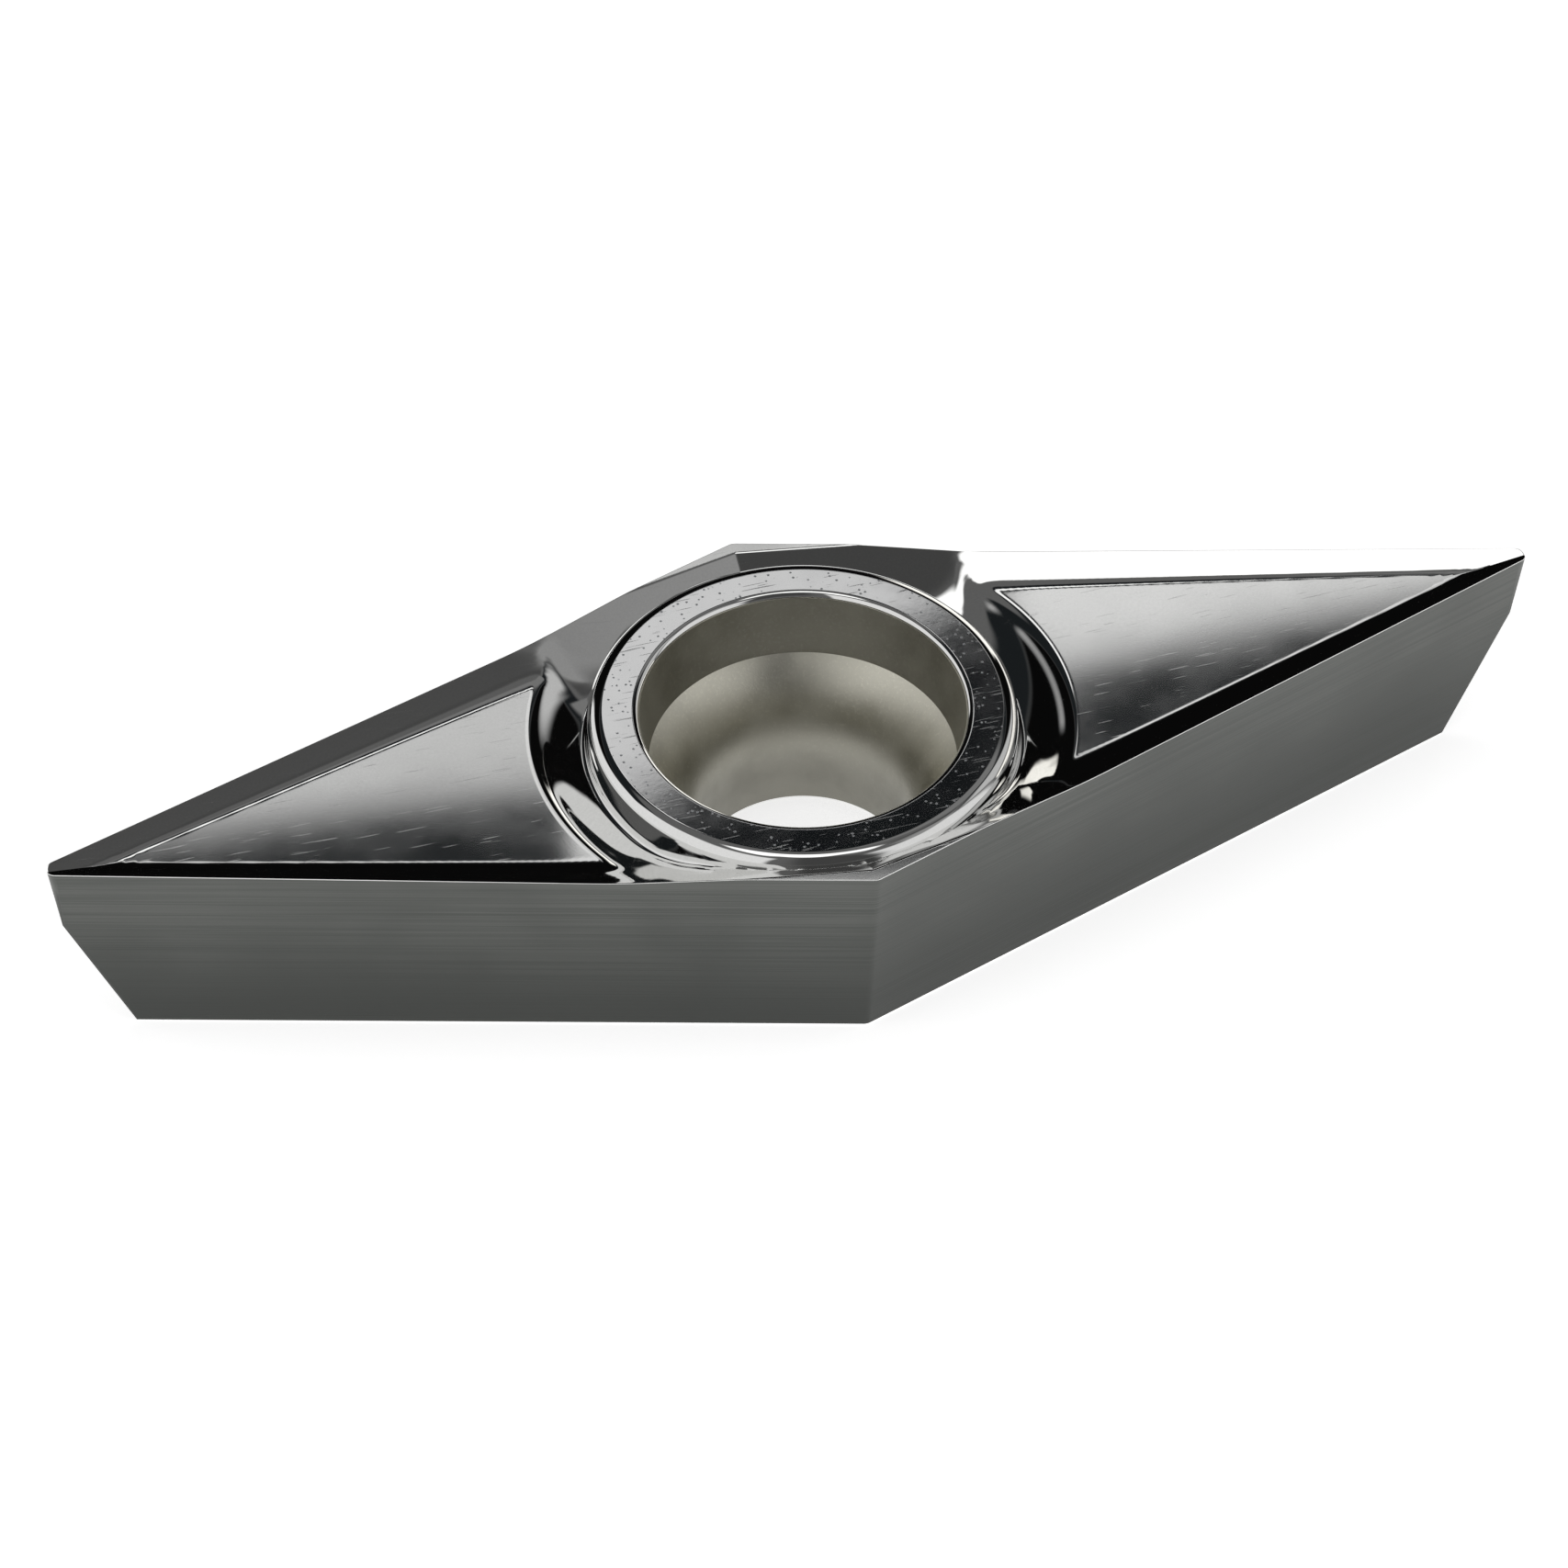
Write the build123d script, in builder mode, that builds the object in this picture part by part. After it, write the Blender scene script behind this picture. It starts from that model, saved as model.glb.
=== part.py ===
from build123d import *
import os
from math import cos, radians, sin, sqrt, tan

# A positive 35 degree rhombic turning insert, one piece of cemented carbide.
# The seating face lies on z = 0 with its centre at the origin, the screw hole runs along Z,
# and the two cutting noses point along -X and +X.

# ---- Blank (mm and degrees) ----
inscribed_circle = 9.525      # circle that touches the four cutting edges
thickness = 4.7625            # from the seating face to the cutting plane
corner_angle = 35.0           # included angle of a cutting nose
clearance_angle = 7.0         # how far the flanks lean in below the edges
nose_radius = 0.2
obtuse_radius = 0.25          # rounding of the upright edges at the two obtuse corners

# ---- Rake face ----
floor_angle = 2.9             # fall of the pocket floor from a nose to the middle
rake_angle = 22.5             # slope of a rake facet, down and in from the cutting edge
edge_fall_angle = 0.8         # fall of the cutting edge itself, from the nose inwards
facet_blend_radius = 2.0      # soft corner between facet and floor, at the middle of the insert
land_length = 2.6             # level stretch of the edge beside an obtuse corner
run_out_fall = 3.7            # fall of the edge where the pocket leaves that stretch
run_out_angle = 30.0          # slope of the facet there, down and in from the edge

# ---- Ring and moat round the screw hole ----
ring_radius = 4.0             # outside of the ring's flat top
ring_rim_radius = 0.3         # rounded outer rim of the ring
moat_radius = 5.35            # where the moat's outer side meets the pocket floor
moat_hollow_radius = 2.1      # hollow curve of that side, deepest below the edge of the ring's flat

# ---- Screw hole ----
bore_radius = 2.2
mouth_radius = 3.28           # upper wall of the hole, at the top
mouth_foot_radius = 3.1       # the same wall where the screw seat begins
mouth_depth = 1.47            # from the ring's flat down to the screw seat
mouth_rim_radius = 0.13
seat_angle = 50.0             # how far the rounded seat leans off the hole's axis at its upper edge

# ---- Worked out from the sizes above ----
half_corner = radians(corner_angle / 2)
clearance = tan(radians(clearance_angle))
half_circle = inscribed_circle / 2
half_long = half_circle / sin(half_corner)      # centre to the sharp nose corner, on the cutting plane
half_short = half_circle / cos(half_corner)     # centre to the obtuse corner
edge_length = sqrt(half_long**2 + half_short**2)
over = 1.0                                      # how far the cutting solids reach past the blank


def edge_directions(side_x, side_y):
    """Along a cutting edge from its obtuse corner to its nose, and square to it into the insert."""
    along = Vector(side_x * cos(half_corner), -side_y * sin(half_corner), 0)
    inward = Vector(-side_x * sin(half_corner), -side_y * cos(half_corner), 0)
    return along, inward


def flank_plane(side_x, side_y):
    """Plane of a ground flank, facing into the insert and leaning in below the cutting edge."""
    along, inward = edge_directions(side_x, side_y)
    corner = (0, side_y * half_short, thickness)
    return Plane(origin=corner, x_dir=along, z_dir=inward + Vector(0, 0, clearance))


def facet_plane(side_x, side_y, from_corner, fall_along, fall_inward):
    """Plane through a cutting edge, at a distance from its obtuse corner, falling noseward and inward."""
    along, inward = edge_directions(side_x, side_y)
    point = Vector(0, side_y * half_short, thickness) + along * from_corner
    slope = along * tan(radians(fall_along)) + inward * tan(radians(fall_inward))
    return Plane(origin=point, z_dir=slope + Vector(0, 0, 1))


quarters = [(1, 1), (1, -1), (-1, 1), (-1, -1)]
run_out_planes = [facet_plane(x, y, land_length, run_out_fall, run_out_angle) for x, y in quarters]

# ---- Pocket: a soft-cornered trough that narrows and rises to each nose ----
edge_fall = tan(radians(edge_fall_angle))
facet_fall = tan(radians(rake_angle)) * cos(half_corner) - edge_fall * sin(half_corner)
floor_drop = half_long * tan(radians(floor_angle))
edge_drop = edge_length * edge_fall
floor_half_width = half_short - (floor_drop - edge_drop) / facet_fall

with BuildPart() as pocket:
    with BuildSketch(Plane.YZ) as trough:
        with BuildLine():
            Polyline(
                (-half_short - over, thickness + over),
                (-half_short - over, thickness - edge_drop + over * facet_fall),
                (-floor_half_width, thickness - floor_drop),
                (floor_half_width, thickness - floor_drop),
                (half_short + over, thickness - edge_drop + over * facet_fall),
                (half_short + over, thickness + over),
                close=True,
            )
        make_face()
        fillet(trough.vertices().group_by(Axis.Y)[0], facet_blend_radius)
    loft([trough.sketch.face(), Vertex(half_long, 0, thickness)])
    mirror(about=Plane.YZ)
    for plane in run_out_planes:
        split(bisect_by=plane, keep=Keep.TOP)

# ---- Moat: a round groove with a hollow outer side, which ends at the land of each obtuse corner ----
moat_rim = thickness - (half_long - moat_radius) * tan(radians(floor_angle))
hollow_centre = moat_rim + sqrt(moat_hollow_radius**2 - (moat_radius - ring_radius) ** 2)
moat_bottom = hollow_centre - moat_hollow_radius

with BuildPart() as moat:
    with BuildSketch(Plane.XZ):
        with BuildLine():
            hollow = CenterArc((ring_radius, hollow_centre), moat_hollow_radius, -90, 90)
            Polyline(
                hollow @ 1,
                (ring_radius + moat_hollow_radius, hollow_centre + over),
                (ring_radius, hollow_centre + over),
                hollow @ 0,
            )
        make_face()
    revolve(axis=Axis.Z)
    for plane in run_out_planes:
        split(bisect_by=plane, keep=Keep.TOP)

# ---- Nose cones: as much clearance as the flanks, down to a point where these meet in a sharp edge ----
nose_centre = half_long - nose_radius / sin(half_corner)
cone_point = thickness - nose_radius / clearance

with BuildPart() as nose_cones:
    for side in (-1, 1):
        with BuildSketch(Plane.XZ):
            with BuildLine():
                Polyline(
                    (side * nose_centre, cone_point),
                    (side * (nose_centre + nose_radius), thickness),
                    (side * nose_centre, thickness),
                    close=True,
                )
            make_face()
        revolve(axis=Axis((side * nose_centre, 0, 0), (0, 0, 1)))
    split(bisect_by=Plane.XY, keep=Keep.TOP)

# ---- Insert ----
with BuildPart() as insert:
    # Blank with its four ground flanks
    with BuildSketch(Plane.XY):
        Rectangle(2 * (half_long + over), 2 * (half_short + over))
    extrude(amount=thickness)
    for x, y in quarters:
        split(bisect_by=flank_plane(x, y), keep=Keep.TOP)
    fillet(insert.edges().filter_by_position(Axis.X, -obtuse_radius, obtuse_radius), obtuse_radius)

    # Noses: the sharp corner goes, as far in as the cones touch the flanks
    top = thickness + over
    touch_at_top = nose_centre + (top - cone_point) * clearance * sin(half_corner)
    for side in (-1, 1):
        with BuildSketch(Plane.XZ):
            with BuildLine():
                Polyline(
                    (side * nose_centre, cone_point),
                    (side * touch_at_top, top),
                    (side * (half_long + over), top),
                    (side * (half_long + over), cone_point),
                    close=True,
                )
            make_face()
        extrude(amount=half_short, both=True, mode=Mode.SUBTRACT)
    add(nose_cones.part)

    # Moulded rake face
    add(pocket.part, mode=Mode.SUBTRACT)
    add(moat.part, mode=Mode.SUBTRACT)

    # Ring, level with the cutting plane, rising out of the moat
    ring_wall = ring_radius + ring_rim_radius
    ring_foot = moat_bottom - over
    with BuildSketch(Plane.XZ) as ring_section:
        with BuildLine():
            Polyline(
                (0, ring_foot), (ring_wall, ring_foot), (ring_wall, thickness), (0, thickness), close=True
            )
        make_face()
        fillet(ring_section.vertices().group_by(Axis.Y)[-1].sort_by(Axis.X)[-1], ring_rim_radius)
    revolve(axis=Axis.Z)

    # Screw hole: slightly tapered mouth, rounded seat for the screw head, straight bore
    seat_radius = (mouth_foot_radius - bore_radius) / (1 - cos(radians(seat_angle)))
    seat_foot = thickness - mouth_depth - seat_radius * sin(radians(seat_angle))
    with BuildSketch(Plane.XZ):
        with BuildLine():
            bore = Line((bore_radius, -over), (bore_radius, seat_foot))
            seat = JernArc(bore @ 1, (0, 1), seat_radius, -seat_angle)
            Polyline(
                seat @ 1,
                (mouth_radius, thickness),
                (mouth_radius, top),
                (0, top),
                (0, -over),
                bore @ 0,
            )
        make_face()
    revolve(axis=Axis.Z, mode=Mode.SUBTRACT)
    fillet(insert.edges(Select.LAST).group_by(Axis.Z)[-1], mouth_rim_radius)

insert.part.label = "insert"
os.makedirs("parts", exist_ok=True)
export_step(insert.part, "parts/insert.step")
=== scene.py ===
"""Looks of a 35 degree turning insert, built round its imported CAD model.

The insert is one closed mesh, laid out as a grid. Its columns go round the outline. Its rows go from the underside
up through the screw hole, over the ring, the moat and the pockets, down the flanks and back to where they began.
Lengths are in millimetres, as in the CAD, until the mesh is made. Materials work in metres, on the object's own
coordinates.
"""

import math

import bpy
import numpy as np
from mathutils import Matrix, Vector


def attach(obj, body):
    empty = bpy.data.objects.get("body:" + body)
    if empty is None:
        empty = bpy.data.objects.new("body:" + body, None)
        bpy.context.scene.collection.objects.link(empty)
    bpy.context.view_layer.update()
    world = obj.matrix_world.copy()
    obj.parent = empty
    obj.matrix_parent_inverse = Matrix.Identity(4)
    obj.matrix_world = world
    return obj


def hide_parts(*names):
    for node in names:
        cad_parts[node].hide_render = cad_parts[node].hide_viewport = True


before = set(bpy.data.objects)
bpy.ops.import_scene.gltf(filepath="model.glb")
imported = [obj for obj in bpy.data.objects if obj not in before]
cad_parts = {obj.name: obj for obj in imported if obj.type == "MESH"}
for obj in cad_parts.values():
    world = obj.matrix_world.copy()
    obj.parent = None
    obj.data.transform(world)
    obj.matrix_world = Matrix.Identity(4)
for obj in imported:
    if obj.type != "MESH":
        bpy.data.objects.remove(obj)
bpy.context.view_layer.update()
MM = 0.001

# ---- Blank (mm, and slopes as height per length) ----
THICK = 4.7625
IN_R = 9.525 / 2  # inscribed circle of the cutting edges
HALF = math.radians(17.5)  # half the angle of a nose
LEAN = math.tan(math.radians(7))  # how far the flanks lean in below the edges
NOSE_R = 0.2
OBTUSE_R = 0.25
HALF_LONG = IN_R / math.sin(HALF)
HALF_SHORT = IN_R / math.cos(HALF)
EDGE_LEN = math.hypot(HALF_LONG, HALF_SHORT)
NOSE_POINT = THICK - NOSE_R / LEAN  # height at which the nose's cone comes to a point
EDGE_ROUND = 0.02
FOOT_CHAMFER = 0.03

# ---- Rake face ----
FLOOR_DROP = 0.165
FLOOR_FALL = math.tan(math.radians(1.4))
RAKE_FALL = math.tan(math.radians(21.5))
EDGE_FALL = math.tan(math.radians(0.8))
NOSE_LEAST = 0.02  # the floor rises, and its turn grows smaller, up to this far from the nose's corner
LAND_LEN = 2.6  # level stretch of the edge beside an obtuse corner
RUN_FALL = math.tan(math.radians(3.7))
RUN_IN = math.tan(math.radians(30))
FACET_TURN, FACET_TURN_LEAST = 0.008, 0.0005  # turn from facet to floor: growth from the nose, and least value
MOAT_TURN = 0.18  # turn from floor to moat
RUN_TURN_LEAST, RUN_TURN, RUN_TURN_REACH = 0.06, 0.3, 1.2  # turn to the run-out, which grows inwards up to a reach
TOP_TURN = 0.02  # turn from the rake face to the level land

# ---- Ring, moat and screw hole ----
RING_R = 4.0
RING_RIM = 0.3
RING_WALL = RING_R + RING_RIM
RING_FOOT_R = 0.15
FOOT_SHARE = 0.6  # most of the ring's wall that the fillet at its foot takes
WALL_SPREAD = 0.003  # the ring's wall leans out by this much, so that no two rows share a place
MOAT_R = 5.35
MOAT_HOLLOW = 2.1
MOAT_END = 5.75  # radius at which the fine rows of the moat end
MOAT_SHARE = 0.6  # most of the way to the cutting edge that they take
BEYOND_HOLLOW = 50  # slope past the moat's hollow, steep enough for the floor to be the lower of the two
BORE_R = 2.2
BORE_CHAMFER = 0.04
MOUTH_R = 3.28
MOUTH_FOOT_R = 3.1
MOUTH_DEPTH = 1.47
MOUTH_RIM = 0.13
SEAT_TURN = math.radians(50)

# ---- Fineness of the mesh ----
NOSE_STEPS, FLANK_STEPS, OBTUSE_STEPS = 10, 134, 4
QUARTER_COLUMNS = OBTUSE_STEPS + FLANK_STEPS + NOSE_STEPS + 1
CROWDING = 0.55  # how much a flank's columns crowd towards its ends
EDGE_PASSES = 6  # rounds in which the height of the cutting edge settles
BORE_ROWS, SEAT_ROWS, MOUTH_RIM_ROWS = 3, 14, 6
MOUTH_ROWS = (0.02, 0.5, 0.98, 1)  # shares of the mouth's height, close together at its ends
RING_RIM_ROWS, RING_WALL_ROWS, RING_FOOT_ROWS = 9, 3, 6
MOAT_ROWS, WING_ROWS, EDGE_ROWS, SEATING_ROWS = 42, 44, 3, 4
SUPPORT = 0.012  # rows this close to a corner keep its shading off the faces beside it
SUPPORT_SHARE = 0.4  # most of a wing row's spacing that a support row takes
RING_SUPPORT = 0.015
MERGE = 2e-4  # points this close are one
SHARP = math.radians(38)

moat_top = -FLOOR_DROP - (HALF_LONG - MOAT_R) * FLOOR_FALL
hollow_centre = moat_top + math.sqrt(MOAT_HOLLOW**2 - (MOAT_R - RING_R) ** 2)


# ---- Heights of the rake face, from the cutting plane ----
def smooth_max(a, b, turn):
    """Larger of two heights, with a soft turn of the given height where they cross."""
    near = np.maximum(turn - np.abs(a - b), 0) / turn
    return np.maximum(a, b) + turn / 6 * near**3


def smooth_min(a, b, turn):
    return -smooth_max(-a, -b, turn)


def moat_height(r):
    """Hollow groove round the ring."""
    out = np.clip(r - RING_R, 0, MOAT_HOLLOW)
    beyond = np.maximum(r - RING_R - MOAT_HOLLOW, 0) * BEYOND_HOLLOW
    return hollow_centre - np.sqrt(MOAT_HOLLOW**2 - out**2) + beyond


def rake_height(x, y):
    """Facets, pocket floor, moat, run-outs and lands, without the ring."""
    ax, ay, r = np.abs(x), np.abs(y), np.hypot(x, y)
    inward = IN_R - (ax * math.sin(HALF) + ay * math.cos(HALF))
    along = ax * math.cos(HALF) - ay * math.sin(HALF) + HALF_SHORT * math.sin(HALF)
    near_nose = np.maximum(HALF_LONG - ax, NOSE_LEAST)
    facet = -(EDGE_LEN - along) * EDGE_FALL - inward * RAKE_FALL
    run_out = -(along - LAND_LEN) * RUN_FALL - inward * RUN_IN
    floor = -FLOOR_DROP - near_nose * FLOOR_FALL
    wing = smooth_max(facet, floor, FACET_TURN * near_nose + FACET_TURN_LEAST)
    scooped = smooth_min(wing, moat_height(r), MOAT_TURN)
    pocket = smooth_max(scooped, run_out, RUN_TURN_LEAST + RUN_TURN * np.clip(inward, 0, RUN_TURN_REACH))
    return smooth_min(pocket, 0, TOP_TURN)


def ring_height(r):
    """The ring's flat and rounded rim."""
    over = np.clip(r - RING_R, 0, RING_RIM)
    return -(RING_RIM - np.sqrt(np.maximum(RING_RIM**2 - over**2, 0)))


# ---- Columns: points round the outline, which leans in towards the seating face ----
def quarter_outline(z):
    """Outline from an obtuse corner to a nose at the heights z, one for each column of a quarter."""
    z = np.broadcast_to(z, (QUARTER_COLUMNS,)).astype(float)
    inset_r = IN_R - (THICK - z) * LEAN
    nose_r = np.maximum(NOSE_R - (THICK - z) * LEAN, 0)
    obtuse_y = (inset_r - OBTUSE_R) / math.cos(HALF)
    nose_x = (inset_r - nose_r) / math.sin(HALF)
    turn = np.linspace(0, HALF, OBTUSE_STEPS + 1)[:-1]
    u = np.linspace(0, 1, FLANK_STEPS + 1)
    t = u - CROWDING * np.sin(2 * math.pi * u) / (2 * math.pi)
    swing = np.linspace(math.pi / 2 - HALF, 0, NOSE_STEPS + 1)[1:]
    a, b = OBTUSE_STEPS, OBTUSE_STEPS + FLANK_STEPS + 1
    x, y = np.zeros_like(z), np.zeros_like(z)
    x[:a], y[:a] = OBTUSE_R * np.sin(turn), obtuse_y[:a] + OBTUSE_R * np.cos(turn)
    x0, y0 = OBTUSE_R * math.sin(HALF), obtuse_y[a:b] + OBTUSE_R * math.cos(HALF)
    x1, y1 = nose_x[a:b] + nose_r[a:b] * math.sin(HALF), nose_r[a:b] * math.cos(HALF)
    x[a:b], y[a:b] = x0 + (x1 - x0) * t, y0 + (y1 - y0) * t
    x[b:], y[b:] = nose_x[b:] + nose_r[b:] * np.cos(swing), nose_r[b:] * np.sin(swing)
    return x, y


def mirrored(quarter, sign_2, sign_3, sign_4):
    """A quarter's values for all four quarters, anticlockwise from the +X nose."""
    back = quarter[::-1]
    return np.concatenate([back[:-1], sign_2 * quarter[:-1], sign_3 * back[:-1], sign_4 * quarter[:-1]])


def whole_outline(z):
    """All columns at the heights z of a quarter's columns."""
    x, y = quarter_outline(z)
    return mirrored(x, -1, -1, 1), mirrored(y, 1, -1, -1)


def quarter_edge_heights():
    """Height of the cutting edge in each column, where the rake face meets the leaning outline."""
    z = np.full(QUARTER_COLUMNS, THICK)
    for _ in range(EDGE_PASSES):
        z = THICK + rake_height(*quarter_outline(z))
    return z


quarter_edge = quarter_edge_heights()
edge_x, edge_y = whole_outline(quarter_edge)
edge_z = mirrored(quarter_edge, 1, 1, 1)
edge_r = np.hypot(edge_x, edge_y)
ray_x, ray_y = edge_x / edge_r, edge_y / edge_r
columns = len(edge_x)

# ---- Rows ----
rows, zones = [], []


def add_row(x, y, z, zone):
    """One row of points. The zone names the faces between it and the row before."""
    rows.append(np.stack([np.broadcast_to(v, (columns,)) for v in (x, y, z)], 1))
    zones.append(zone)


def add_circle(r, z, zone):
    add_row(ray_x * r, ray_y * r, z, zone)


def add_rake(r):
    """Row on the rake face at the radii r."""
    x, y = ray_x * r, ray_y * r
    add_row(x, y, THICK + rake_height(x, y), "rake")


def steps(count):
    """Equal steps up to 1, without the 0."""
    return [(i + 1) / count for i in range(count)]


# Screw hole: bore, rounded seat and tapered mouth with a rounded rim
seat_r = (MOUTH_FOOT_R - BORE_R) / (1 - math.cos(SEAT_TURN))
seat_top = THICK - MOUTH_DEPTH
seat_foot = seat_top - seat_r * math.sin(SEAT_TURN)
wall_lean = math.atan2(MOUTH_R - MOUTH_FOOT_R, MOUTH_DEPTH)
rim_in = MOUTH_RIM * math.tan((math.pi / 2 - wall_lean) / 2)
rim_low = THICK - rim_in * math.cos(wall_lean)
rim_low_r = MOUTH_R - rim_in * math.sin(wall_lean)

add_circle(BORE_R + BORE_CHAMFER, 0, "seating")
add_circle(BORE_R, BORE_CHAMFER, "bore")
for t in steps(BORE_ROWS):
    add_circle(BORE_R, seat_foot * t, "bore")
for t in steps(SEAT_ROWS):
    a = SEAT_TURN * t
    add_circle(BORE_R + seat_r * (1 - math.cos(a)), seat_foot + seat_r * math.sin(a), "seat")
for t in MOUTH_ROWS:
    add_circle(MOUTH_FOOT_R + (rim_low_r - MOUTH_FOOT_R) * t, seat_top + (rim_low - seat_top) * t, "hole")
for t in steps(MOUTH_RIM_ROWS):
    a = wall_lean + (math.pi / 2 - wall_lean) * t
    r = MOUTH_R + rim_in - MOUTH_RIM * math.cos(a)
    add_circle(r, THICK - MOUTH_RIM + MOUTH_RIM * math.sin(a), "rim")

# Ring: flat, rounded rim, wall and the fillet at its foot
ring_in = MOUTH_R + rim_in
for r in (ring_in + RING_SUPPORT, (ring_in + RING_R) / 2, RING_R - RING_SUPPORT, RING_R):
    add_circle(r, THICK, "ring")
for t in steps(RING_RIM_ROWS):
    r = RING_R + RING_RIM * math.sin(math.pi / 2 * t)
    x, y = ray_x * r, ray_y * r
    add_row(x, y, THICK + np.maximum(ring_height(r), rake_height(x, y)), "ring_rim")
moat_in = RING_WALL + RING_FOOT_R
wall_top = rows[-1][:, 2]
wall_foot = np.minimum(THICK + rake_height(ray_x * moat_in, ray_y * moat_in), wall_top)
foot_height = np.minimum(RING_FOOT_R, (wall_top - wall_foot) * FOOT_SHARE)
for t in steps(RING_WALL_ROWS):
    add_circle(RING_WALL + WALL_SPREAD * t, wall_top + (wall_foot + foot_height - wall_top) * t, "rake")
for t in steps(RING_FOOT_ROWS):
    a = math.pi / 2 * t
    r = RING_WALL + WALL_SPREAD + (RING_FOOT_R - WALL_SPREAD) * (1 - math.cos(a))
    x, y = ray_x * r, ray_y * r
    add_row(x, y, THICK + rake_height(x, y) + foot_height * (1 - math.sin(a)), "rake")

# Moat and wings, with a support row just before the rounded cutting edge
reach = edge_r - moat_in
moat_reach = np.minimum(MOAT_END - moat_in, reach * MOAT_SHARE)
wing_reach = reach - EDGE_ROUND - moat_reach
wing_support = np.minimum(SUPPORT, SUPPORT_SHARE * wing_reach / WING_ROWS)
for t in steps(MOAT_ROWS):
    add_rake(moat_in + moat_reach * t)
for t in steps(WING_ROWS)[:-1]:
    add_rake(moat_in + moat_reach + wing_reach * t)
add_rake(moat_in + moat_reach + wing_reach - wing_support)
add_rake(moat_in + moat_reach + wing_reach)

# Rounded cutting edge: a small arc from the rake face to the flank
quarter_low = quarter_edge - EDGE_ROUND
low_z = edge_z - EDGE_ROUND
before = rows[-1]
corner = np.stack([edge_x, edge_y, edge_z], 1)
after = np.stack([*whole_outline(quarter_low), low_z], 1)
for t in steps(EDGE_ROWS):
    arc = (1 - t) ** 2 * before + 2 * t * (1 - t) * corner + t * t * after
    add_row(*arc.T, "edge")

# Flanks, with support rows beside the cutting edge and the foot chamfer
add_row(*whole_outline(quarter_low - SUPPORT), low_z - SUPPORT, "flank")
for z in (NOSE_POINT, FOOT_CHAMFER + SUPPORT, FOOT_CHAMFER):
    add_row(*whole_outline(z), z, "flank")

# Seating face: inwards from the foot chamfer, until the last row closes on the first
foot_x, foot_y = whole_outline(0)
foot_r = np.hypot(foot_x, foot_y)
foot_ray_x, foot_ray_y = foot_x / foot_r, foot_y / foot_r
seating_r, hole_r = foot_r - FOOT_CHAMFER, BORE_R + BORE_CHAMFER
add_row(foot_ray_x * seating_r, foot_ray_y * seating_r, 0, "edge")
for i in range(SEATING_ROWS):
    r = seating_r + (hole_r - seating_r) * (i + 1) / (SEATING_ROWS + 1)
    add_row(foot_ray_x * r, foot_ray_y * r, 0, "seating")
rows[0] = np.stack([foot_ray_x * hole_r, foot_ray_y * hole_r, np.zeros(columns)], 1)

# ---- Mesh: points that coincide are merged, and faces that vanish with them are left out ----
points = np.concatenate(rows)
key = np.round(points / MERGE).astype(np.int64)
_, first, same = np.unique(key, axis=0, return_index=True, return_inverse=True)
same = same.reshape(len(rows), columns)
faces, face_zones = [], []
for i, row in enumerate(same):
    j = (i + 1) % len(rows)
    quads = np.stack([row, same[j], np.roll(same[j], -1), np.roll(row, -1)], 1)
    for quad in quads.tolist():
        face = [v for n, v in enumerate(quad) if v != quad[n - 1]]
        if len(face) >= 3 and len(set(face)) == len(face):
            faces.append(face)
            face_zones.append(zones[j])
mesh = bpy.data.meshes.new("insert_body")
mesh.from_pydata((points[first] * MM).tolist(), [], faces)
mesh.validate()
mesh.polygons.foreach_set("use_smooth", [True] * len(mesh.polygons))
mesh.set_sharp_from_angle(angle=SHARP)
body = bpy.data.objects.new("insert_body", mesh)
bpy.context.scene.collection.objects.link(body)


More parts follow.
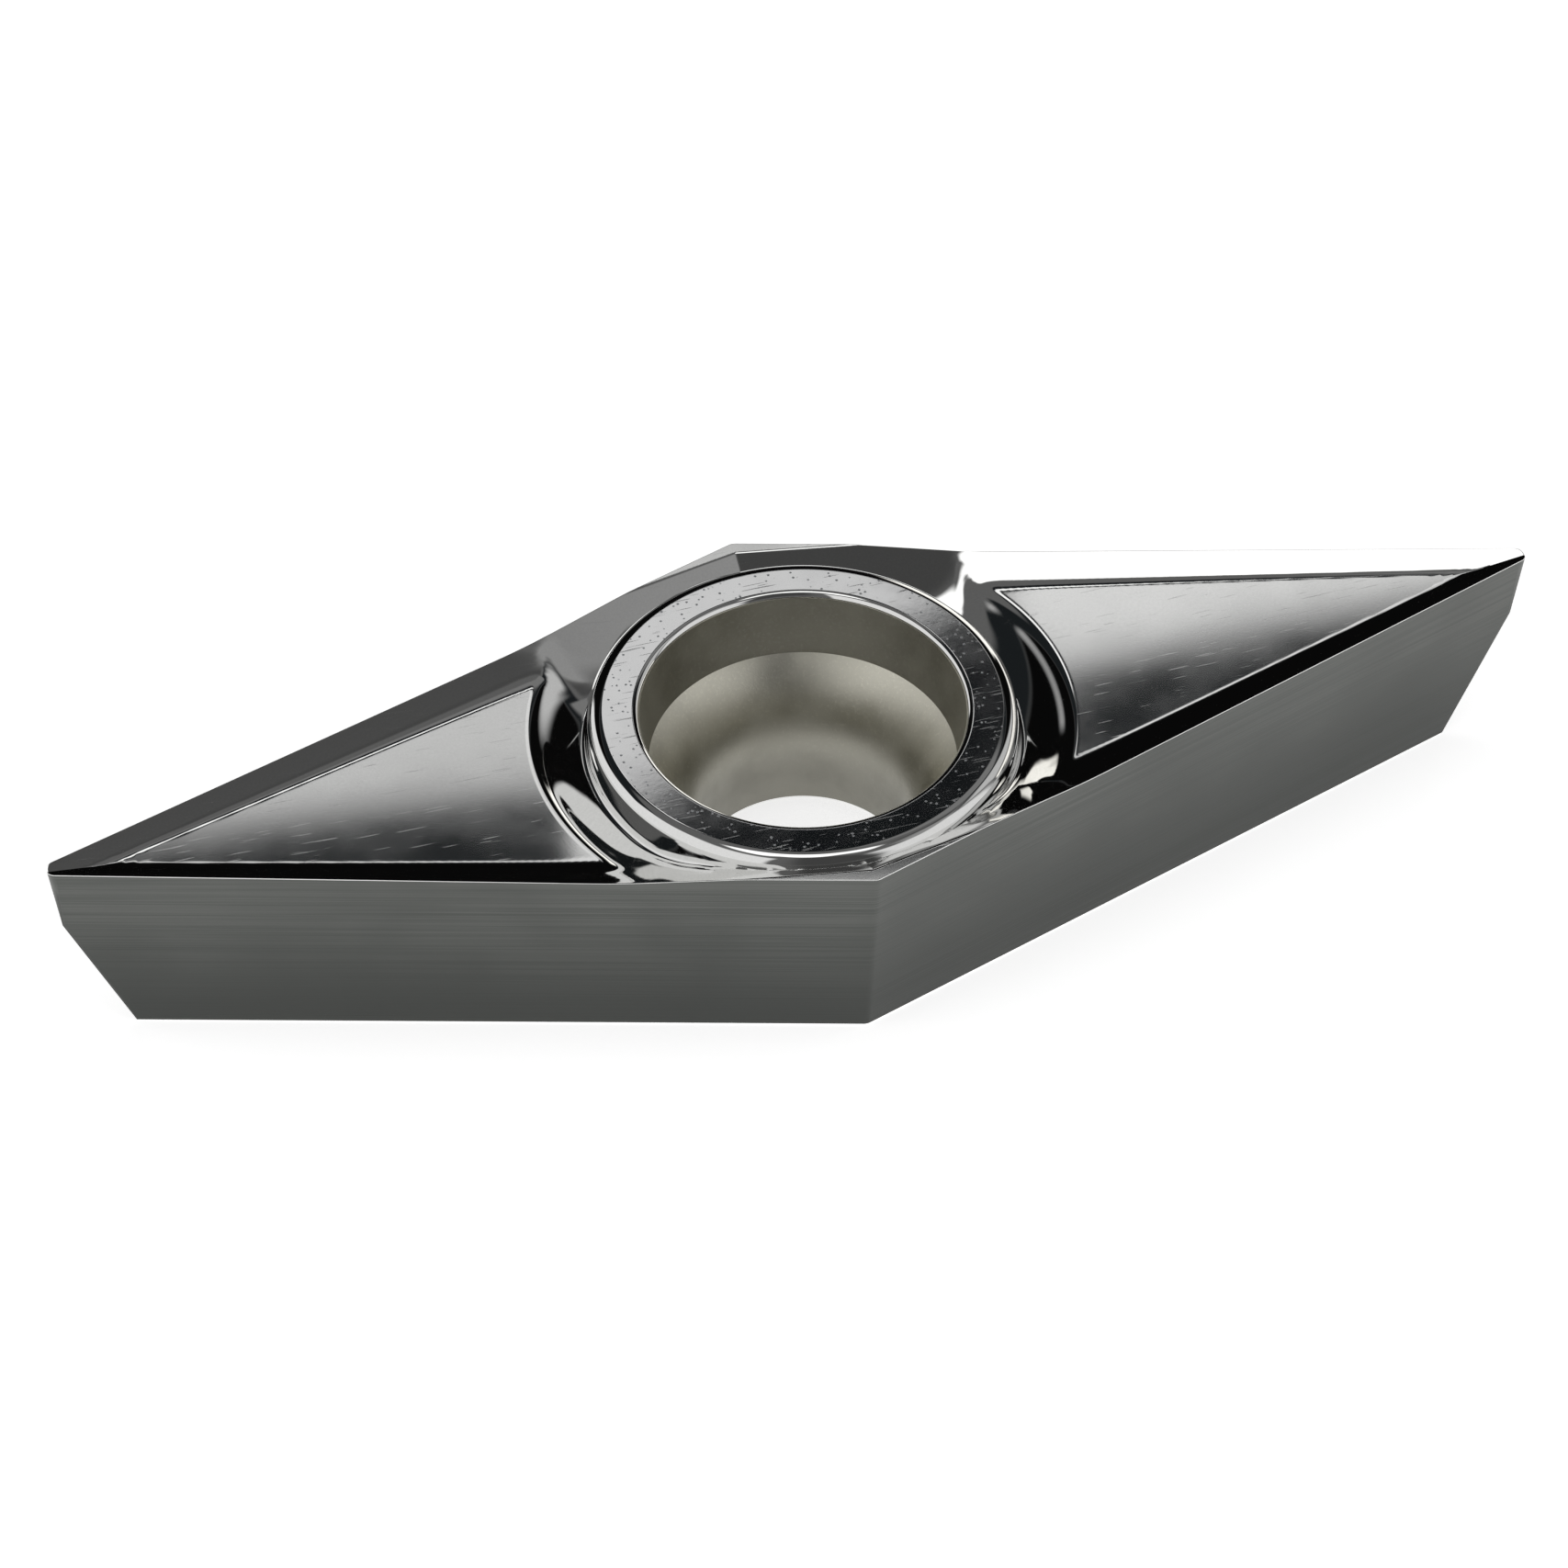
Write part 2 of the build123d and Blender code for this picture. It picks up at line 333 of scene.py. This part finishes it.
# ---- Shader nodes ----
class Nodes:
    """Writes the shader nodes of one tree as expressions."""

    def __init__(self, tree):
        self.tree = tree

    def new(self, kind, **props):
        node = self.tree.nodes.new(kind)
        for name, value in props.items():
            setattr(node, name, value)
        return node

    def put(self, socket, value):
        if hasattr(value, "node"):
            self.tree.links.new(value, socket)
        else:
            socket.default_value = value

    def math(self, op, a, b=0.0):
        node = self.new("ShaderNodeMath", operation=op)
        self.put(node.inputs[0], a)
        self.put(node.inputs[1], b)
        return node.outputs[0]

    def product(self, first, *others):
        for other in others:
            first = self.math("MULTIPLY", first, other)
        return first

    def flipped(self, mask):
        return self.math("SUBTRACT", 1.0, mask)

    def ramp(self, value, lo, hi, to_lo=0.0, to_hi=1.0):
        """to_lo below lo, to_hi above hi, smooth between."""
        node = self.new("ShaderNodeMapRange", interpolation_type="SMOOTHSTEP")
        names = ("Value", "From Min", "From Max", "To Min", "To Max")
        for name, v in zip(names, (value, lo, hi, to_lo, to_hi)):
            self.put(node.inputs[name], v)
        return node.outputs["Result"]

    def window(self, value, lo, hi, soft):
        """1 between lo and hi, 0 outside."""
        rise = self.ramp(value, lo - soft, lo + soft)
        fall = self.ramp(value, hi - soft, hi + soft)
        return self.product(rise, self.flipped(fall))

    def over(self, under, color, mask):
        node = self.new("ShaderNodeMix", data_type="RGBA")
        self.put(node.inputs["Factor"], mask)
        self.put(node.inputs["A"], under)
        self.put(node.inputs["B"], color)
        return node.outputs["Result"]

    def place(self, scale=(1, 1, 1), turn=0.0, shift=(0, 0, 0)):
        """The object's own coordinates, turned about Z, scaled in each direction and shifted."""
        node = self.new("ShaderNodeMapping", vector_type="POINT")
        self.put(node.inputs["Vector"], self.new("ShaderNodeTexCoord").outputs["Object"])
        node.inputs["Rotation"].default_value = (0, 0, turn)
        node.inputs["Location"].default_value = shift
        node.inputs["Scale"].default_value = scale
        return node.outputs[0]

    def split(self, vector):
        node = self.new("ShaderNodeSeparateXYZ")
        self.put(node.inputs[0], vector)
        return node.outputs

    def noise(self, scale, detail=2.0, rough=0.5, vector=None):
        """Noise at the given scale, on the object's own coordinates unless others are given."""
        node = self.new("ShaderNodeTexNoise")
        vector = vector or self.place()
        self.put(node.inputs["Vector"], vector)
        for name, v in (("Scale", scale), ("Detail", detail), ("Roughness", rough)):
            node.inputs[name].default_value = v
        return node.outputs["Fac"]

    def bump(self, height, distance, normal=None):
        """Relief of the given height, its distance in metres."""
        node = self.new("ShaderNodeBump")
        node.inputs["Distance"].default_value = distance
        self.put(node.inputs["Height"], height)
        if normal is not None:
            self.put(node.inputs["Normal"], normal)
        return node.outputs[0]


def new_material(name):
    mat = bpy.data.materials.new(name)
    mat.use_nodes = True
    return mat, Nodes(mat.node_tree), mat.node_tree.nodes["Principled BSDF"]


def metal(name, color, rough):
    """Carbide with the given mean colour and roughness, ready for its detail."""
    mat, n, bsdf = new_material(name)
    bsdf.inputs["Base Color"].default_value = rgba(color)
    bsdf.inputs["Metallic"].default_value = 1
    bsdf.inputs["Roughness"].default_value = rough
    return mat, n, bsdf


def rgba(color, level=1.0):
    return (*(v * level for v in color), 1)


# ---- Materials of the insert ----
SCRATCH_SCALE = (900, 20000, 0)  # along a scratch, across it and through it, per metre
SCRATCH_TURN = 2.4  # radians from each set of scratches to the next
LINE_DRAG = 90  # how fast a grinding line changes along its own length, per metre
RING_LEAN = math.tan(math.radians(1.75))
def scratches(n, count, turn, width):
    """Thin straight scratches in several directions, 1 on a scratch and 0 between."""
    for i in range(count):
        streaks = n.place(SCRATCH_SCALE, turn + i * SCRATCH_TURN, (0.013 * i, 0.031 * i, 0))
        mark = n.ramp(n.noise(1, detail=1, vector=streaks), 0.72 - width, 0.74)
        marks = n.math("MAXIMUM", marks, mark) if i else mark
    return marks


def polished(name):
    """Mirror polish with a fine grain and a few scratches."""
    mat, n, bsdf = metal(name, (0.8, 0.8, 0.79), 0.05)
    grain = n.noise(22000, detail=3, rough=0.6)
    haze = n.noise(700, detail=3)
    mark = scratches(n, 2, 0.4, 0.02)
    n.put(bsdf.inputs["Base Color"], n.over(rgba((0.74, 0.74, 0.73)), rgba((0.86, 0.86, 0.85)), grain))
    rough = n.math("ADD", n.ramp(haze, 0.3, 0.7, 0.03, 0.042), n.product(mark, 0.05))
    n.put(bsdf.inputs["Roughness"], rough)
    relief = n.math("ADD", n.product(grain, 0.5), n.product(mark, -0.2))
    n.put(bsdf.inputs["Normal"], n.bump(relief, distance=3e-8))
    return mat


def lapped(name, lean):
    """Lapped flat with a speckle of pores and fine scratches, shaded as if it leaned about X."""
    metal_tone, pore_tone = (0.5, 0.5, 0.5), (0.72, 0.74, 0.76)
    mat, n, bsdf = metal(name, metal_tone, 0.08)
    spot = n.new("ShaderNodeTexVoronoi", feature="F1")
    n.put(spot.inputs["Vector"], n.place())
    spot.inputs["Scale"].default_value = 11000
    pick = n.new("ShaderNodeSeparateColor")
    n.put(pick.inputs[0], spot.outputs["Color"])
    few = n.ramp(pick.outputs[0], 0.8, 0.86)
    pore = n.product(n.ramp(spot.outputs["Distance"], 0.18, 0.38, 1.0, 0.0), few)
    mark = scratches(n, 3, 0.9, 0.03)
    haze = n.noise(1500, detail=3)
    dulled = n.product(n.math("MAXIMUM", n.product(mark, 0.4), pore), 0.3)
    n.put(bsdf.inputs["Roughness"], n.math("ADD", n.ramp(haze, 0.3, 0.7, 0.04, 0.055), dulled))
    n.put(bsdf.inputs["Base Color"], n.over(rgba(metal_tone), rgba(pore_tone), pore))
    y = n.split(n.new("ShaderNodeTexCoord").outputs["Object"])["Y"]
    leaning = n.bump(n.product(y, lean), distance=1.0)
    grain = n.noise(7000, detail=3, rough=0.6)
    relief = n.math("ADD", n.product(grain, 0.6), n.product(mark, -0.4))
    n.put(bsdf.inputs["Normal"], n.bump(relief, distance=1.5e-7, normal=leaning))
    return mat


def sintered(name, color, dark, rough, painted_bottom_shade=0.0):
    """Matt wall as it came out of the furnace, mottled by grain, and darker towards the bottom by painted shade of
    the given strength.
    """
    mat, n, bsdf = metal(name, color, rough)
    grain = n.noise(14000, detail=3, rough=0.7)
    cloud = n.noise(900, detail=4, rough=0.6)
    z = n.split(n.new("ShaderNodeTexCoord").outputs["Object"])["Z"]
    tone = n.over(rgba(dark), rgba(color), n.ramp(cloud, 0.25, 0.75))
    tone = n.over(tone, rgba(color, 1.15), n.ramp(grain, 0.5, 0.75, 0.0, 0.6))
    # painted shade deep in the hole: the wall grows darker towards the bottom
    tone = n.over(tone, rgba(color, 0.3), n.ramp(z, 0.0006, 0.0034, painted_bottom_shade, 0.0))
    n.put(bsdf.inputs["Base Color"], tone)
    n.put(bsdf.inputs["Roughness"], n.ramp(cloud, 0.3, 0.7, rough - 0.06, rough + 0.06))
    n.put(bsdf.inputs["Normal"], n.bump(grain, distance=3e-6))
    return mat


def ground(name, across, color, streak_color, rough):
    """Ground face with fine lines, told apart by the direction across them, and painted shade that makes it darker
    towards the bottom.
    """
    mat, n, bsdf = metal(name, color, rough)
    fine = n.noise(1, detail=2, rough=0.7, vector=n.place(across(38000)))
    broad = n.noise(1, detail=3, rough=0.6, vector=n.place(across(3500)))
    cloud = n.noise(260)
    line = n.math("ADD", n.product(fine, 0.6), n.product(broad, 0.4))
    z = n.split(n.new("ShaderNodeTexCoord").outputs["Object"])["Z"]
    tone = n.over(rgba(color), rgba(streak_color), n.ramp(line, 0.38, 0.62))
    tone = n.over(tone, rgba(color, 0.8), n.ramp(cloud, 0.4, 0.75, 0.0, 0.5))
    # painted shade: the face grows darker towards the bottom, standing in for the insert's own shadow on the floor
    # that the flanks reflect; the seating face, lying at the bottom, is darkened all over
    tone = n.over(tone, rgba(color, 0.6), n.ramp(z, 0.0002, 0.0046, 0.9, 0.0))
    n.put(bsdf.inputs["Base Color"], tone)
    n.put(bsdf.inputs["Roughness"], n.ramp(line, 0.35, 0.65, rough - 0.06, rough + 0.08))
    n.put(bsdf.inputs["Normal"], n.bump(line, distance=2.5e-6))
    return mat


def lines_along_edges(scale):
    return (LINE_DRAG, LINE_DRAG, scale)


def lines_along_x(scale):
    return (LINE_DRAG, scale, 1)


materials = [
    (polished("polished_carbide"), ("rake", "ring_rim", "rim", "edge")),
    (lapped("lapped_ring", RING_LEAN), ("ring",)),
    (sintered("sintered_hole", (0.37, 0.36, 0.31), (0.3, 0.29, 0.25), 0.5), ("hole",)),
    # painted light: the bore and seat get a far paler tone than the mouth's wall of the same sintered carbide, for
    # the light that the seat catches from above
    (sintered("sintered_seat", (0.82, 0.8, 0.7), (0.68, 0.66, 0.57), 0.45, 0.95), ("bore", "seat")),
    (ground("ground_flank", lines_along_edges, (0.09, 0.095, 0.089), (0.142, 0.146, 0.138), 0.36), ("flank",)),
    (ground("ground_seat", lines_along_x, (0.3, 0.3, 0.29), (0.4, 0.4, 0.39), 0.3), ("seating",)),
]
slot_of = {}
for index, (mat, its_zones) in enumerate(materials):
    mesh.materials.append(mat)
    slot_of.update(dict.fromkeys(its_zones, index))
mesh.polygons.foreach_set("material_index", [slot_of[zone] for zone in face_zones])
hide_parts("insert")
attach(body, "root")

# ---- Floor: white to the camera and in reflections, with the insert's shadow on it ----
FLOOR_HALF = 3.0
FLOOR_GLOW = 0.7
corners = [(-1, -1), (1, -1), (1, 1), (-1, 1)]
floor_mesh = bpy.data.meshes.new("floor")
floor_mesh.from_pydata([(x * FLOOR_HALF, y * FLOOR_HALF, 0) for x, y in corners], [], [(0, 1, 2, 3)])
floor = bpy.data.objects.new("floor", floor_mesh)
bpy.context.scene.collection.objects.link(floor)
paper, n, bsdf = new_material("floor_paper")
bsdf.inputs["Base Color"].default_value = (0.95, 0.95, 0.95, 1)
bsdf.inputs["Roughness"].default_value = 0.9
path = n.new("ShaderNodeLightPath").outputs
seen = n.math("MAXIMUM", path["Is Camera Ray"], path["Is Glossy Ray"])
seen = n.math("MAXIMUM", seen, path["Is Transmission Ray"])
bsdf.inputs["Emission Color"].default_value = (1, 1, 1, 1)
n.put(bsdf.inputs["Emission Strength"], n.product(seen, FLOOR_GLOW))
floor_mesh.materials.append(paper)

# ---- Studio: a grey room with light and dark cards, placed by bearing and height in degrees ----
# Bearing 0 is behind the insert (+Y) and grows to the right. The polished face shows what it reflects,
# so each card is there for the part of the face that sees it.
world = bpy.data.worlds.new("studio")
bpy.context.scene.world = world
world.use_nodes = True
w = Nodes(world.node_tree)
background = world.node_tree.nodes["Background"]
TO_DEG = 180 / math.pi
direction = w.split(w.new("ShaderNodeTexCoord").outputs["Generated"])
height = w.product(w.math("ARCSINE", direction["Z"]), TO_DEG)
bearing = w.product(w.math("ARCTAN2", direction["X"], direction["Y"]), TO_DEG)

WHITE = (1, 1, 1)
BLUE = (0.85, 1.0, 1.1)
CREAM = (1.0, 0.98, 0.93)


def card(under, level, tint, bearings, bearing_soft, heights, height_soft):
    """A card between two bearings and two heights."""
    mask = w.product(w.window(bearing, *bearings, bearing_soft), w.window(height, *heights, height_soft))
    return w.over(under, rgba(tint, level), mask)


def slant(at_zero, per_degree, along):
    """A slanting border: its place where the angle along it is zero, and its change for each degree."""
    return w.math("ADD", at_zero, w.product(along, per_degree))


def past(value, border, lo, hi):
    """0 before the border, 1 past it."""
    return w.ramp(w.math("SUBTRACT", value, border), lo, hi)


def short_of(value, border, lo, hi):
    return w.flipped(past(value, border, lo, hi))


sky = rgba(WHITE, 0.125)
# shade for the facet behind on the left
sky = card(sky, 0.07, WHITE, (64, 79), 6, (58, 73), 2)
# dark room behind, for the moat and the facets in front
sky = card(sky, 0.003, WHITE, (-110, 92), 1.5, (-20, 42), 1.5)
# wall on the left, cut off by a slanting border so that the right of the moat stays dark
wall = w.product(w.window(bearing, -145, -24, 2), w.window(height, -20, 62, 4))
wall = w.product(wall, short_of(height, slant(0.0, -0.78, bearing), -3, 3))
sky = w.over(sky, rgba(WHITE, 0.85), wall)
# dusk above the band, for the darker half of the pocket floors
sky = card(sky, 0.014, BLUE, (-62, 92), 3, (42, 54), 1.5)
sky = card(sky, 0.2, WHITE, (22, 60), 2, (46, 60), 2)
# low light card on the right, for the left of the moat
low_card = short_of(bearing, slant(47.5, -0.34, height), -1.0, 1.5)
low_card = w.product(low_card, w.ramp(bearing, 23, 26), w.window(height, -20, 25, 4))
sky = w.over(sky, rgba(CREAM, 1.3), low_card)
sky = card(sky, 1.2, CREAM, (33, 92), 1, (-20, 10), 4)
# paler card beyond it, for the moat's rim
pale_card = past(bearing, slant(48.0, 0.42, height), -3.0, 5.0)
pale_card = w.product(pale_card, w.window(bearing, 0, 92, 2), w.window(height, 15, 50, 4))
sky = w.over(sky, rgba(WHITE, 0.55), pale_card)
sky = card(sky, 0.65, WHITE, (19, 24.5), 1, (39.5, 44), 1)
# band behind, for the lighter half of the pocket floors: the left floor sees its left part
is_right = w.ramp(bearing, 16.7, 17.0)
left_top, right_top = slant(46.0, -0.09, bearing), slant(47.75, -0.15, bearing)
band_top = w.math("ADD", left_top, w.product(is_right, w.math("SUBTRACT", right_top, left_top)))
band = w.product(w.window(bearing, 9.5, 24, 1), w.ramp(height, 42.7, 43.2))
band = w.product(band, short_of(height, band_top, -0.3, 0.2))
sky = w.over(sky, w.over(rgba(WHITE, 0.64), rgba(WHITE, 0.82), is_right), band)
# glow above the band, for the ring's flat
ring_glow = w.product(w.window(bearing, 8, 24, 1), w.ramp(height, 45.9, 46.3))
ring_glow = w.product(ring_glow, short_of(height, slant(56.0, -0.457, bearing), -0.2, 0.2))
sky = w.over(sky, rgba(WHITE, 1.15), ring_glow)
# window far right, and the light above it for the run-out behind on the left
sky = card(sky, 0.8, WHITE, (97, 160), 5, (-8, 56), 4)
sky = card(sky, 0.3, WHITE, (84, 124), 4, (54, 67), 3)
# shade in front, and the ceiling light, which is smaller towards the front
ahead = w.math("ABSOLUTE", bearing)
front = w.product(w.ramp(ahead, 150, 165), w.window(height, 22, 79, 4))
sky = w.over(sky, rgba(WHITE, 0.06), front)
cut_away = w.product(w.ramp(ahead, 110, 135), w.flipped(w.ramp(height, 80, 84)))
ceiling = w.product(w.ramp(height, 73, 76), w.flipped(cut_away))
sky = w.over(sky, rgba(WHITE, 1.4), ceiling)
w.put(background.inputs["Color"], sky)
background.inputs["Strength"].default_value = 1.0

# ---- Camera at the photograph's angle, fitted to the outline of the insert in it ----
CAM_BEARING, CAM_HEIGHT, CAM_ROLL = -0.296294439, 0.790050319, -0.000440538  # radians
CAM_DIST = 136.494573  # from the aim, in mm
CAM_AIM = Vector((0, 0, 2.38))
FOCAL = 4.32209764  # focal length, as a share of the frame's width
SHIFT_PX = (-20.6458348, 8.44637025)
PHOTO_PX = 1707
SENSOR = 36
sin_b, cos_b = math.sin(CAM_BEARING), math.cos(CAM_BEARING)
sin_h, cos_h = math.sin(CAM_HEIGHT), math.cos(CAM_HEIGHT)
sin_r, cos_r = math.sin(CAM_ROLL), math.cos(CAM_ROLL)
back = Vector((sin_b * cos_h, -cos_b * cos_h, sin_h))
across = Vector((cos_b, sin_b, 0))
upright = back.cross(across)
right, up = across * cos_r + upright * sin_r, upright * cos_r - across * sin_r
cam_data = bpy.data.cameras.new("photo_view")
cam_data.sensor_width = SENSOR
cam_data.lens = FOCAL * SENSOR
cam_data.shift_x, cam_data.shift_y = (shift / PHOTO_PX for shift in SHIFT_PX)
cam_data.clip_start = 0.002
cam_data.clip_end = 20
cam = bpy.data.objects.new("photo_view", cam_data)
bpy.context.scene.collection.objects.link(cam)
turned = Matrix((right, up, back)).transposed().to_4x4()
turned.translation = (CAM_AIM + back * CAM_DIST) * MM
cam.matrix_world = turned
bpy.context.scene.camera = cam
bpy.context.scene.view_settings.view_transform = "Standard"

bpy.context.view_layer.update()
